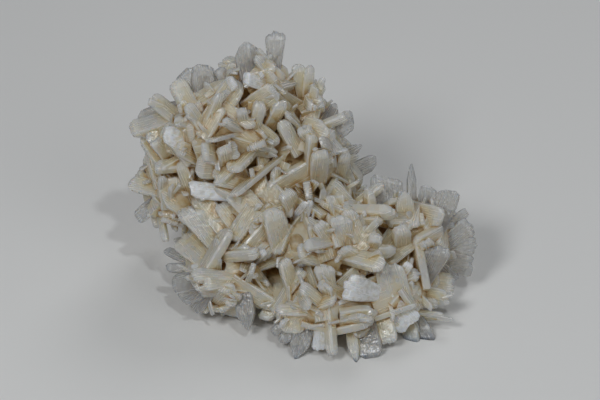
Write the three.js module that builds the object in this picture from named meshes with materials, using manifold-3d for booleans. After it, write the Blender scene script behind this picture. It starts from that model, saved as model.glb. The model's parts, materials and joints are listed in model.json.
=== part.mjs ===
// A stilbite specimen: creamy bladed crystals, grown together every which way on a mound of the same mineral.
// Millimetres, +Z up. The origin is the middle of the flat spot that the specimen rests on.
// The display side faces -Y. It is seen from displayElevation above the horizon.
import * as THREE from "three";
import { mergeVertices } from "three/addons/utils/BufferGeometryUtils.js";
import Module from "manifold-3d";

const displayElevation = THREE.MathUtils.degToRad(35);
const creamColour = 0xd8cdb8;

// The mound that carries the crystals: round lumps that melt into each other, as middles and half sizes.
const lumps = [
  { name: "head", at: [-24, 17, 44], reach: [17, 13, 16] },
  { name: "left cheek", at: [-39, 21, 38], reach: [8, 9, 10] },
  { name: "crown", at: [-12, 24, 56], reach: [10, 9, 11] },
  { name: "right of the crown", at: [2, 25, 45], reach: [7, 7, 9] },
  { name: "neck", at: [1, 16, 37], reach: [13, 12, 14] },
  { name: "left shoulder", at: [-35, 14, 26], reach: [11, 12, 11] },
  { name: "middle", at: [-12, 3, 22], reach: [15, 13, 15] },
  { name: "belly", at: [8, -4, 19], reach: [18, 15, 15] },
  { name: "right lobe", at: [33, 5, 15], reach: [13, 12, 12] },
  { name: "left foot", at: [-21, -8, 12], reach: [13, 12, 10] },
  { name: "front foot", at: [9, -20, 10], reach: [16, 11, 8.5] },
  { name: "right foot", at: [27, -13, 9], reach: [12, 11, 8.5] },
  { name: "back", at: [-6, 18, 20], reach: [24, 16, 20] },
  { name: "base", at: [0, 3, 7], reach: [27, 20, 9] },
];
const moundReach = 75; // no skin is further out from the origin than this
const lumpSharpness = 2.6; // how little the lumps melt into each other
const lumpDetail = 1; // how often each edge of a lump's icosahedron is split
const lumpFilling = 0.94; // keeps the faceted lumps just under the skin
const skinStep = 0.4; // how finely the skin is looked for
const slopeStep = 0.1;
const mergeDistance = 1e-4; // corners nearer than this are one corner

// A crystal is rooted where the mound's level is rootedLevel, and goes on a little further, to be fused in.
const rootedLevel = 3;
const rootLength = 1.5;

// How a crystal narrows: rows of [share of length, share of breadth, share of thickness], root to tip.
const habits = {
  blade: [[0, 0.82, 0.9], [0.8, 1, 1], [1, 0.5, 0.35]],
  point: [[0, 0.85, 0.9], [0.66, 1, 1], [1, 0.14, 0.3]],
  blunt: [[0, 0.85, 0.9], [0.92, 1, 1], [1, 0.75, 0.62]],
  round: [[0, 0.8, 0.9], [0.82, 1, 1], [1, 0.6, 0.5]],
  fan: [[0, 0.5, 0.9], [0.86, 1, 1], [1, 0.72, 0.3]],
};

// The crystals that show on the display side, by eye from the viewer's place. Each row is
// [root across, root up, tip across, tip up, breadth, thickness, turn of the broad face in degrees,
// rise of the tip towards the viewer, habit].
// Across and up are measured in the viewing plane through the origin.
const shownCrystals = [
  // crown
  [-5.7, 66.6, -7.2, 76.8, 6, 2, 10, 1, "fan"],
  [-14.4, 64.5, -15.9, 73.8, 8.5, 2.2, 15, 0, "point"],
  [-22.8, 61.5, -24.3, 66, 4, 2.5, 20, 2, "round"],
  [-6.3, 63.3, -12.9, 69.3, 3.6, 2.2, 30, 4, "blade"],
  [-29.4, 59.4, -28.8, 67.2, 7.5, 2.5, 20, 0, "round"],
  [-31.5, 58.5, -35.1, 64.8, 8, 2.2, 5, 0, "blade"],
  [-26.4, 63, -19.2, 61.8, 4.6, 1.6, 70, 5, "blunt"],
  [-9.6, 60.6, -16.2, 62.7, 4, 2.4, 10, 5, "blunt"],
  [0.9, 61.5, -0.6, 67.2, 4.5, 2, 15, 1, "round"],
  [1.8, 61.2, 2.7, 66.6, 3.5, 2.5, 25, 1, "round"],
  [3.9, 57.6, 6.6, 61.8, 4, 2, 10, 0, "blade"],
  [1.5, 60.6, 3.3, 54, 3, 2, 50, 5, "blade"],
  // head, left side
  [-29.7, 47.1, -36.6, 62.1, 5.4, 3.6, 25, 7, "blunt"],
  [-36, 55.2, -50.4, 47.7, 6, 3, 40, 3, "blunt"],
  [-34.5, 42, -39.9, 46.8, 6, 3, 0, 6, "blade"],
  [-36, 58, -48.5, 50.5, 7, 1.8, -20, 0, "round"],
  [-39, 42, -45.5, 47.4, 6, 2, 5, 3, "blade"],
  [-38, 51, -44, 57.5, 5, 2, 20, 0, "blade"],
  [-29.1, 46.8, -23.1, 58.2, 3.4, 2, 40, 6, "blade"],
  [-27.9, 45, -33, 55.2, 4, 2.4, 30, 6, "round"],
  [-23.4, 48.6, -27.6, 60.6, 7, 2.4, 0, 2, "blade"],
  [-15, 46.8, -22.2, 50.1, 3, 2.6, 45, 5, "round"],
  [-17.1, 46.2, -26.7, 44.1, 4.5, 1.2, 80, 5, "blunt"],
  [-40.5, 36, -46.2, 46.5, 6, 2.4, 20, 0, "blade"],
  [-38.4, 36.6, -42.6, 45, 5, 2, 10, 2, "blunt"],
  [-31.5, 37.5, -36, 42.6, 5, 2.4, 15, 3, "blade"],
  // head, middle and right
  [-13.5, 54, -6.9, 59.4, 7, 2.6, 15, 2, "blade"],
  [-12.6, 45, -11.4, 55.5, 4, 3, 20, 3, "blunt"],
  [-8.4, 46.5, -5.1, 56.1, 4.6, 2.6, 35, 4, "blade"],
  [-15, 49.5, -17.1, 53.4, 3.6, 2.6, 10, 5, "round"],
  [-19.5, 51, -21.6, 60, 6, 2.4, 5, 1, "blade"],
  [1.2, 49.8, -4.2, 52.5, 3.2, 1.4, 75, 5, "blunt"],
  [3.5, 52.5, 4.6, 58.6, 6, 2, -10, 2, "blade"],
  [-1.5, 42, -5.6, 50.4, 4.4, 3, 20, 4, "blade"],
  [6, 44.5, 0.6, 48, 4, 2.6, -25, 4, "blunt"],
  [9, 49.5, 10.8, 55.8, 5, 1.6, 0, 0, "point"],
  [10.5, 48, 15.9, 51.6, 6.5, 1.8, 10, 0, "blade"],
  [4.5, 49.8, 13.8, 51.9, 3, 2.4, 40, 4, "blunt"],
  [13.5, 42, 6, 44.4, 4, 2, 50, 5, "blade"],
  [15, 39.6, 18.6, 43.5, 3.6, 1.8, 15, 0, "point"],
  [17.4, 35.4, 23.1, 39, 5, 2, 20, 0, "blade"],
  [3.3, 35.4, 3.6, 46.2, 3.4, 2.6, 30, 3, "blunt"],
  [6.6, 32.4, 6, 41.4, 5.6, 3, 15, 4, "round"],
  [15, 30.6, 13.5, 41.4, 4, 3, 20, 3, "blade"],
  [-21.6, 33.6, -22.2, 42.6, 5, 3, 20, 3, "blade"],
  [-23.4, 37.5, -28.5, 41.4, 6, 2.6, 20, 5, "blade"],
  [-12, 41.4, -20.4, 35.4, 6, 2.2, 40, 4, "blade"],
  [-5.1, 28.5, -7.2, 36.6, 4, 2, 40, 2, "blade"],
  // left shoulder
  [-44.4, 30, -51, 32.4, 5, 2.2, 20, 1, "round"],
  [-45, 30, -48.3, 35.7, 2.2, 1.8, 10, 0, "blunt"],
  [-45, 25.8, -48.9, 21.3, 4.8, 1.6, 0, 0, "round"],
  [-48.3, 28.2, -39.9, 14.4, 2.2, 2, 30, 4, "blunt"],
  [-43.2, 28.2, -40.5, 33.9, 2.8, 2, 30, 5, "round"],
  [-39.6, 25.5, -37.8, 31.5, 2.4, 1.5, 60, 4, "blade"],
  [-31.2, 35.4, -42.9, 36.6, 4, 3, 40, 4, "blunt"],
  [-18.6, 30.3, -32.7, 30.3, 5, 3, 5, 3, "point"],
  [-7.5, 39, -19.8, 28.2, 5, 1.5, 70, 4, "blunt"],
  [-11.4, 21, -18.9, 29.4, 7.5, 2, 10, 0, "blunt"],
  [-18, 16.5, -23.4, 26.1, 6, 2, 20, 0, "blade"],
  [-25.5, 14.1, -33, 24.6, 7, 2.6, 10, 2, "fan"],
  [-28.5, 17.4, -36, 23.4, 5, 2, 30, 3, "fan"],
  // belly
  [-7.5, 9.6, -8.1, 24.6, 7, 4, 15, 5, "round"],
  [-1.2, 25.8, -4.2, 29.4, 5.5, 3, 20, 7, "round"],
  [0, 22.2, 3, 27, 2.6, 2, 0, 6, "blade"],
  [5.4, 27, 27.9, 23.4, 4.6, 3.4, 55, 8, "blunt"],
  [15.6, 23.4, 24.3, 21, 3.4, 2.4, 40, 5, "round"],
  [15, 12.6, 11.4, 22.5, 6.5, 2.5, 15, 3, "fan"],
  [9, 15, 5.4, 20.4, 5, 2.4, 20, 3, "blade"],
  [10.5, 15.6, 1.2, 13.5, 4, 2.6, 30, 5, "round"],
  [7.5, 8.4, -0.6, 12, 6, 2.6, 20, 4, "round"],
  [9, 0, 6.6, 8.4, 6, 2.6, 15, 3, "fan"],
  [-3.9, 1.5, -4.8, 9.9, 4.5, 2.6, 20, 5, "round"],
  [15, 10.5, 28.2, 12, 4.5, 2.4, 35, 5, "blade"],
  [13.5, 0, 5.4, 3, 4, 2.4, 30, 4, "blade"],
  [6.6, -3, 0, 2.1, 4.5, 2.4, 25, 4, "blade"],
  // left foot
  [-27.9, 8.4, -35.1, 16.2, 8.5, 3, 5, 4, "fan"],
  [-26.4, 12, -12, 11.4, 3.6, 3, 20, 5, "blunt"],
  [-25.5, 14.1, -14.4, 12.9, 3, 2.4, 45, 4, "blade"],
  [-36, 10.8, -40.5, 12, 3, 2, 20, 0, "round"],
  [-35.7, 7.8, -39.9, 6.9, 3, 2, 20, 0, "round"],
  [-31.2, 3.6, -37.8, 1.8, 6, 2, 10, 0, "blade"],
  [-30, 0.6, -35.4, -2.4, 6, 2, 10, 0, "round"],
  [-27.6, -0.6, -31.2, -5.7, 5, 2, 15, 0, "blade"],
  [-27.9, -2.1, -28.5, -6.3, 2.4, 1.6, 10, 0, "blunt"],
  [-16.2, 4.2, -32.1, 5.1, 4.4, 3, 30, 6, "fan"],
  [-18, 2.1, -28.5, 2.4, 4, 2, 20, 4, "fan"],
  [-15.9, 2.4, -15.3, -11.4, 5.8, 3, 15, 5, "point"],
  [-18, 0, -20.7, -4.2, 3.6, 2, 10, 3, "round"],
  // front foot
  [-6.3, 3.3, -9.9, -4.5, 2.4, 2, 30, 5, "blade"],
  [-4.2, 3.6, 2.7, -4.2, 3.6, 2, 30, 5, "blade"],
  [2.4, -5.7, -7.2, -5.1, 3.8, 3, 20, 5, "round"],
  [0, -3, -3, -12, 7, 3, 5, 3, "round"],
  [-9, -1.5, -11.1, -8.4, 4.5, 2.4, 15, 3, "blade"],
  [-4.2, -7.8, -8.1, -12.3, 4, 2, 10, 1, "round"],
  [-2.4, -9, -5.1, -15, 4, 2, 20, 1, "blade"],
  [0.9, -10.5, -1.2, -19.5, 6, 2, 5, 2, "point"],
  [6.6, -8.4, 5.4, -16.8, 4.2, 1.8, -15, 3, "blunt"],
  [8.1, -1.2, 9.3, -18, 3.2, 3, 45, 5, "blunt"],
  [15.9, -13.2, 16.5, -20.7, 3.4, 3, 20, 2, "point"],
  [19.8, -10.8, 21, -19.2, 7.5, 2.2, 10, 2, "blade"],
  [10.5, -11.4, 19.5, -6.6, 3.6, 1.8, 55, 5, "blade"],
  // right foot
  [24, 0.6, 12.9, 2.1, 7.2, 3, 0, 6, "round"],
  [29.4, -3, 25.5, 8.1, 9, 3, 5, 4, "blade"],
  [25.5, -3, 31.5, -10.5, 11, 2.4, 0, 5, "fan"],
  [24, -7.5, 25.8, -15, 7, 2.2, 10, 4, "blade"],
  [33.6, -13.8, 42.3, -7.5, 3.2, 1.8, 50, 1, "blunt"],
  [35.4, -3.6, 40.5, -3.6, 3, 2, 20, 1, "blunt"],
  [35.4, -10.5, 38.4, -15.3, 5, 1.6, 10, 0, "blade"],
  [32.4, -10.5, 33.6, -15.9, 5, 2, 20, 0, "round"],
  [39, -0.6, 44.1, -2.1, 5, 1.8, 10, 0, "blade"],
  // right lobe
  [33.6, 28.2, 33.3, 38.1, 2.8, 2, 20, 2, "point"],
  [25.5, 23.4, 25.8, 33.9, 9.5, 2, 5, 0, "blunt"],
  [32.4, 31.2, 42.3, 21.6, 6.6, 2.6, 10, 6, "round"],
  [39, 22.5, 38.4, 31.2, 6, 2, 0, 0, "round"],
  [42, 20.4, 45, 30, 7.5, 2.2, 5, 0, "round"],
  [47.4, 20.4, 50.1, 23.7, 2.8, 1.8, 10, 0, "blunt"],
  [45, 12, 51.3, 19.8, 6.5, 2.4, 10, 2, "fan"],
  [45, 10.5, 52.8, 13.5, 6, 2, 15, 2, "fan"],
  [45, 6.6, 51.6, 8.4, 5, 2, 20, 1, "blade"],
  [30, 12, 29.7, 19.2, 5.5, 3.4, 20, 7, "round"],
  [23.4, 12, 22.5, 16.2, 4.5, 3, 20, 7, "round"],
  [39, 2.4, 41.4, 13.5, 7.5, 2.6, 10, 4, "fan"],
  [39.6, 8.4, 37.2, 15, 5, 2.4, 25, 4, "blade"],
  [44.4, 8.4, 51.6, 5.4, 5, 1.8, 10, 0, "blade"],
  [43.5, 5.4, 46.8, 3, 4, 2, 20, 0, "round"],
];

// The rest of the mound is covered by crystals that a formula sets, finer on the display side than behind.
const scattered = {
  triesOnALump: 300,
  turn: Math.PI / 2, // how widely the broad faces turn about the crystals' lengths
  lowest: 4, // none is rooted lower than this
  // lean is in degrees from the skin's own direction
  inFront: { spacing: 7.3, lean: [25, 65], length: [6.5, 11], breadth: [3.4, 6.5], thickness: [1.8, 3] },
  behind: { spacing: 10.5, lean: [45, 75], length: [8, 12], breadth: [6, 10], thickness: [3, 5] },
  habits: ["blade", "blunt", "blade", "fan", "point", "blade"],
};
const coveredShares = [0.5, 0.85]; // a crystal covers the mound at these shares of its length
const scatterRates = { perPlace: 12.9898, perSalt: 78.233, spread: 43758.5453 };
const goldenAngle = Math.PI * (3 - Math.sqrt(5));

const across = new THREE.Vector3(1, 0, 0);
const upward = new THREE.Vector3(0, Math.sin(displayElevation), Math.cos(displayElevation));
const toViewer = new THREE.Vector3(0, -Math.cos(displayElevation), Math.sin(displayElevation));

// Over 1 inside the mound and under 1 outside.
function level(point) {
  return lumps.reduce((sum, { at, reach }) => {
    const [x, y, z] = point.toArray().map((value, i) => (value - at[i]) / reach[i]);
    return sum + Math.exp(lumpSharpness * (1 - x * x - y * y - z * z));
  }, 0);
}

function outOfSkin(point) {
  const axes = [new THREE.Vector3(1, 0, 0), new THREE.Vector3(0, 1, 0), new THREE.Vector3(0, 0, 1)];
  const levelBeside = (axis, step) => level(point.clone().addScaledVector(axis, step));
  const slope = axes.map((axis) => levelBeside(axis, -slopeStep) - levelBeside(axis, slopeStep));
  return new THREE.Vector3(...slope).normalize();
}

// Where a line from the middle of a lump, in a direction, leaves the mound.
function skinFrom({ at, reach }, direction) {
  const outward = direction.clone().multiply(new THREE.Vector3(...reach));
  const point = new THREE.Vector3(...at).add(outward);
  outward.setLength(skinStep);
  while (level(point) > 1) point.add(outward);
  return point;
}

function inViewingPlane(u, v, out) {
  return new THREE.Vector3()
    .addScaledVector(across, u)
    .addScaledVector(upward, v)
    .addScaledVector(toViewer, out);
}

// How far towards the viewer the mound's skin is at a place of the viewing plane. Beside the mound, it is
// where the sight line passes the mound nearest.
function skinTowardsViewer(u, v) {
  let nearest = 0;
  let highest = 0;
  for (let out = moundReach; out > -moundReach; out -= skinStep) {
    const here = level(inViewingPlane(u, v, out));
    if (here > 1) return out;
    if (here > highest) {
      highest = here;
      nearest = out;
    }
  }
  return nearest;
}

// A number from 0 to 1 that looks random and is the same each time.
function scatter(i, salt) {
  const { perPlace, perSalt, spread } = scatterRates;
  const wave = Math.sin(i * perPlace + salt * perSalt) * spread;
  return wave - Math.floor(wave);
}
const between = ([low, high], share) => low + (high - low) * share;

// A flattened prism from root to tip, its broad faces square to facing, and narrowed as its habit says.
function crystalGeometry({ root, tip, breadth, thickness, facing, habit }) {
  const axis = tip.clone().sub(root);
  const length = axis.length() + rootLength;
  axis.normalize();
  const rings = habits[habit];
  const geometry = new THREE.BoxGeometry(thickness, 1, breadth, 1, rings.length - 1, 1);
  const position = geometry.attributes.position;
  for (let i = 0; i < position.count; i++) {
    const [share, broad, thick] = rings[Math.round((position.getY(i) + 0.5) * (rings.length - 1))];
    position.setXYZ(i, position.getX(i) * thick, share * length, position.getZ(i) * broad);
  }
  const normal = facing.clone().addScaledVector(axis, -facing.dot(axis)).normalize();
  const turned = new THREE.Matrix4().makeBasis(normal, axis, normal.clone().cross(axis));
  turned.setPosition(root.clone().addScaledVector(axis, -rootLength));
  return geometry.applyMatrix4(turned);
}

// The nearest place straight under a point of the skin where a crystal can be rooted.
function rootUnder(point) {
  const root = point.clone();
  while (level(root) < rootedLevel) root.addScaledVector(outOfSkin(root), -skinStep);
  return root;
}

function shownCrystal([rootU, rootV, tipU, tipV, breadth, thickness, turn, rise, habit]) {
  const root = rootUnder(inViewingPlane(rootU, rootV, skinTowardsViewer(rootU, rootV)));
  const tip = inViewingPlane(tipU, tipV, skinTowardsViewer(tipU, tipV) + rise);
  const axis = tip.clone().sub(root).normalize();
  const facing = toViewer
    .clone()
    .addScaledVector(axis, -toViewer.dot(axis))
    .normalize()
    .applyAxisAngle(axis, THREE.MathUtils.degToRad(turn));
  return { root, tip, breadth, thickness, facing, habit };
}

// The skin's points that scattered crystals may stand on, spread evenly over each lump in turn.
function skinPoints() {
  const points = [];
  for (const lump of lumps) {
    for (let i = 0; i < scattered.triesOnALump; i++) {
      const height = 1 - (2 * (i + 0.5)) / scattered.triesOnALump;
      const flat = Math.sqrt(1 - height * height);
      const around = i * goldenAngle;
      const direction = new THREE.Vector3(flat * Math.cos(around), flat * Math.sin(around), height);
      points.push(skinFrom(lump, direction));
    }
  }
  return points;
}

function scatteredCrystal(skin, out, kind, i) {
  const sideways = new THREE.Vector3(scatter(i, 1) - 0.5, scatter(i, 2) - 0.5, scatter(i, 3) - 0.5);
  sideways.addScaledVector(out, -sideways.dot(out)).normalize();
  const lean = THREE.MathUtils.degToRad(between(kind.lean, scatter(i, 4)));
  const axis = out.clone().multiplyScalar(Math.cos(lean)).addScaledVector(sideways, Math.sin(lean));
  return {
    root: rootUnder(skin),
    tip: skin.clone().addScaledVector(axis, between(kind.length, scatter(i, 5))),
    breadth: between(kind.breadth, scatter(i, 6)),
    thickness: between(kind.thickness, scatter(i, 7)),
    facing: out.clone().applyAxisAngle(axis, scattered.turn * (scatter(i, 8) - 0.5)),
    habit: scattered.habits[Math.floor(scatter(i, 9) * scattered.habits.length)],
  };
}

function scatteredCrystals(shown) {
  const covered = ({ root, tip }) => coveredShares.map((share) => root.clone().lerp(tip, share));
  const taken = shown.flatMap(covered);
  const made = [];
  skinPoints().forEach((skin, i) => {
    const out = outOfSkin(skin);
    const kind = out.dot(toViewer) > 0 ? scattered.inFront : scattered.behind;
    const isFree = taken.every((place) => place.distanceTo(skin) >= kind.spacing);
    if (skin.z < scattered.lowest || !isFree) return;
    taken.push(skin);
    made.push(scatteredCrystal(skin, out, kind, i));
  });
  return made;
}

function lumpGeometry({ at, reach }) {
  const size = reach.map((length) => length * lumpFilling);
  return new THREE.IcosahedronGeometry(1, lumpDetail).scale(...size).translate(...at);
}

const wasm = await Module();
wasm.setup();

function solidOf(geometry) {
  const bare = geometry.clone();
  bare.deleteAttribute("normal");
  bare.deleteAttribute("uv");
  const merged = mergeVertices(bare, mergeDistance);
  return new wasm.Manifold(
    new wasm.Mesh({
      numProp: 3,
      vertProperties: merged.attributes.position.array,
      triVerts: new Uint32Array(merged.index.array),
    }),
  );
}

function geometryOf(solid) {
  const mesh = solid.getMesh();
  const geometry = new THREE.BufferGeometry();
  geometry.setAttribute("position", new THREE.BufferAttribute(mesh.vertProperties, 3));
  geometry.setIndex(new THREE.BufferAttribute(mesh.triVerts, 1));
  geometry.computeVertexNormals();
  return geometry;
}

function groundGeometry() {
  const size = 4 * moundReach;
  return new THREE.BoxGeometry(size, size, size).translate(0, 0, -size / 2);
}

const shown = shownCrystals.map(shownCrystal);
const crystals = [...shown, ...scatteredCrystals(shown)];
const grown = wasm.Manifold.union([
  ...lumps.map((lump) => solidOf(lumpGeometry(lump))),
  ...crystals.map((crystal) => solidOf(crystalGeometry(crystal))),
]);
const rested = grown.subtract(solidOf(groundGeometry()));
// The one grown piece, without the specks and sealed bubbles that joining can leave.
const [wholePiece] = rested.decompose().sort((a, b) => b.volume() - a.volume());

const specimen = new THREE.Group();
const cluster = new THREE.Mesh(
  geometryOf(wholePiece),
  new THREE.MeshStandardMaterial({ color: creamColour, roughness: 0.35, metalness: 0 }),
);
cluster.name = "stilbite_cluster";
specimen.add(cluster);

export default specimen;
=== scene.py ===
# Stilbite specimen: creamy blades, rods and fans grown together on a mound of the same mineral.
# Places are in millimetres until a mesh is made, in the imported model's own frame.
# The floor, the lamps and the camera's distance are in metres.
import json
import math

import bmesh
import bpy
import numpy as np
from mathutils import Matrix, Vector
from mathutils.bvhtree import BVHTree

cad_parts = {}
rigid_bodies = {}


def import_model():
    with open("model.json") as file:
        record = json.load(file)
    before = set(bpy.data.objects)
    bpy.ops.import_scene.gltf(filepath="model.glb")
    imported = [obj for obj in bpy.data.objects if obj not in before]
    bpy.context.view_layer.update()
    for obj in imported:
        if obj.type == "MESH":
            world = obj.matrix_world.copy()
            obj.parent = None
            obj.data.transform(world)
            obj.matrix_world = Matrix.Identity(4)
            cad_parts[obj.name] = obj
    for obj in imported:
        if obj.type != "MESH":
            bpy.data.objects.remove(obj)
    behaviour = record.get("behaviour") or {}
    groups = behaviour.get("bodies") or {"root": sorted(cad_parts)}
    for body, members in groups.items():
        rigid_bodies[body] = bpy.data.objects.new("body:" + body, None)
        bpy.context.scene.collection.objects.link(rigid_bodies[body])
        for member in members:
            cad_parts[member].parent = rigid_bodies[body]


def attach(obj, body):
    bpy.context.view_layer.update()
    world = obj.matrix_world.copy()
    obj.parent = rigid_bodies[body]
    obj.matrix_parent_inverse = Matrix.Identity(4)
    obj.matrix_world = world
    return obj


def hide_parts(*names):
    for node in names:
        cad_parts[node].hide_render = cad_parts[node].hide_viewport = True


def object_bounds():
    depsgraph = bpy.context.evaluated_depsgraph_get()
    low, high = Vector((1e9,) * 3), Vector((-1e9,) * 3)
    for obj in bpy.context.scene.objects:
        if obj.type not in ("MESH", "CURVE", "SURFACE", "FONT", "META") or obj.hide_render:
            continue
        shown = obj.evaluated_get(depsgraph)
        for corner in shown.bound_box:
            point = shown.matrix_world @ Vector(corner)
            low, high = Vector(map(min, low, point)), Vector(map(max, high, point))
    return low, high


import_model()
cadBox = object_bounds()
millimetre = 0.001
boxLow = np.array(cadBox[0]) / millimetre
boxHigh = np.array(cadBox[1]) / millimetre
boxMargin = 0.05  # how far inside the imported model's box every corner stays
farAway = 1000.0  # further off than any place on the specimen
dice = np.random.default_rng(7)

displayElevation = math.radians(35)  # how far above the horizon the display side is looked at from
across = np.array([1.0, 0.0, 0.0])
upward = np.array([0.0, math.sin(displayElevation), math.cos(displayElevation)])
toViewer = np.array([0.0, -math.cos(displayElevation), math.sin(displayElevation)])

displayLimit = -0.2  # how far the display side's crystals go round the back, as a cosine
glint = np.array([-0.21, -0.74, 0.67])  # the way that a broad face looks to catch the main light

# The mound that carries the crystals: round lumps that melt into each other, as (middle, half sizes)
mound = {
    "lumps": {
        "head": ((-24, 17, 44), (17, 13, 16)),
        "leftCheek": ((-39, 21, 38), (8, 9, 10)),
        "crown": ((-12, 24, 56), (10, 9, 11)),
        "rightOfTheCrown": ((2, 25, 45), (7, 7, 9)),
        "neck": ((1, 16, 37), (13, 12, 14)),
        "leftShoulder": ((-35, 14, 26), (11, 12, 11)),
        "middle": ((-12, 3, 22), (15, 13, 15)),
        "belly": ((8, -4, 19), (18, 15, 15)),
        "rightLobe": ((33, 5, 15), (13, 12, 12)),
        "leftFoot": ((-21, -8, 12), (13, 12, 10)),
        "frontFoot": ((9, -20, 10), (16, 11, 8.5)),
        "rightFoot": ((27, -13, 9), (12, 11, 8.5)),
        "back": ((-6, 18, 20), (24, 16, 20)),
        "base": ((0, 3, 7), (27, 20, 9)),
    },
    "sharpness": 2.6,  # how little the lumps melt into each other
    "filling": 0.87,  # how much of each lump is solid
    "roundness": 4,  # how often a lump's faces are split
    "reach": 75,  # where a search along a sight line starts and ends
    "step": 0.4,  # of each search for the skin
    "slopeStep": 0.1,  # between the points that tell which way the skin faces
    "rootedLevel": 3,  # how deep a large crystal's root is, counted as levelAt does
    "rootLength": 1.5,  # how much further in a crystal starts than its root
}
lumpMiddles = np.array([middle for middle, _ in mound["lumps"].values()], float)
lumpReaches = np.array([reach for _, reach in mound["lumps"].values()], float)

# How a crystal narrows: rows of (share of length, share of breadth, share of thickness), root to tip,
# then how much shorter its outer laths are than its middle one, and how far they splay in degrees
habits = {
    "blade": {
        "rows": [(0, 0.95, 0.95), (0.8, 1, 1), (0.93, 0.8, 0.75), (1, 0.5, 0.35)],
        "taper": 0.1,
        "splay": 3,
    },
    "point": {
        "rows": [(0, 0.95, 0.95), (0.66, 1, 1), (0.85, 0.62, 0.7), (1, 0.16, 0.3)],
        "taper": 0.3,
        "splay": 1,
    },
    "blunt": {
        "rows": [(0, 0.95, 0.95), (0.92, 1, 1), (0.97, 0.92, 0.88), (1, 0.75, 0.62)],
        "taper": 0.02,
        "splay": 1,
    },
    "round": {
        "rows": [(0, 0.92, 0.95), (0.78, 1, 1), (0.93, 0.82, 0.8), (1, 0.42, 0.4)],
        "taper": 0.2,
        "splay": 4,
    },
    "fan": {
        "rows": [(0, 0.5, 0.9), (0.86, 1, 1), (0.95, 0.92, 0.75), (1, 0.72, 0.3)],
        "taper": 0.14,
        "splay": 6,
    },
}

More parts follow.
